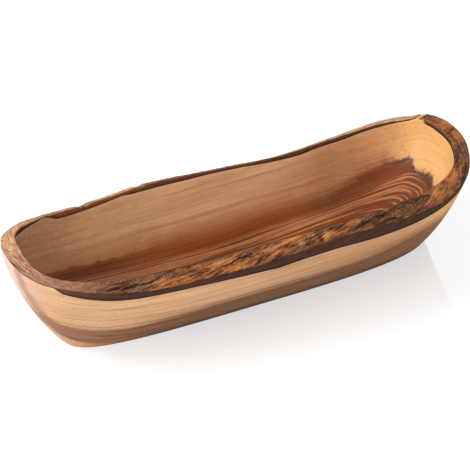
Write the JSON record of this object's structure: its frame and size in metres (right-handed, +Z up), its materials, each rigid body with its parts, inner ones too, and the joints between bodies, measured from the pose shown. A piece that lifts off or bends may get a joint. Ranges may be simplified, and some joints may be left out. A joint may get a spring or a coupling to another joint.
{
  "type": "olive wood bowl",
  "caption": "Long boat-shaped bread bowl carved from half an olive log, with a flat foot, a bowed hollow and the log's natural bark left along its rim.",
  "frame": {"origin": "centre of the bounding box on the plane of the flat foot", "axes": "+X along the bowl's length towards the blunter end, +Y from the front side to the back side, +Z up"},
  "size_m": [0.405, 0.1327, 0.1041],
  "materials": {
    "olive_wood": "oiled, satin, with dark heartwood streaks",
    "inner_bark": "sanded dark bast",
    "outer_bark": "rough, furrowed, lightly oiled",
    "old_bark": "rough, weathered grey-green"
  },
  "bodies": {
    "root": {"wood_trough": "olive_wood", "inner_bark_front": "inner_bark", "inner_bark_right_end": "inner_bark", "inner_bark_back": "inner_bark", "inner_bark_left_end": "inner_bark", "outer_bark_front": "outer_bark", "outer_bark_right_end": "outer_bark", "outer_bark_back": "outer_bark", "outer_bark_left_end": "outer_bark", "old_bark_scale": "old_bark"}
  },
  "joints": []
}
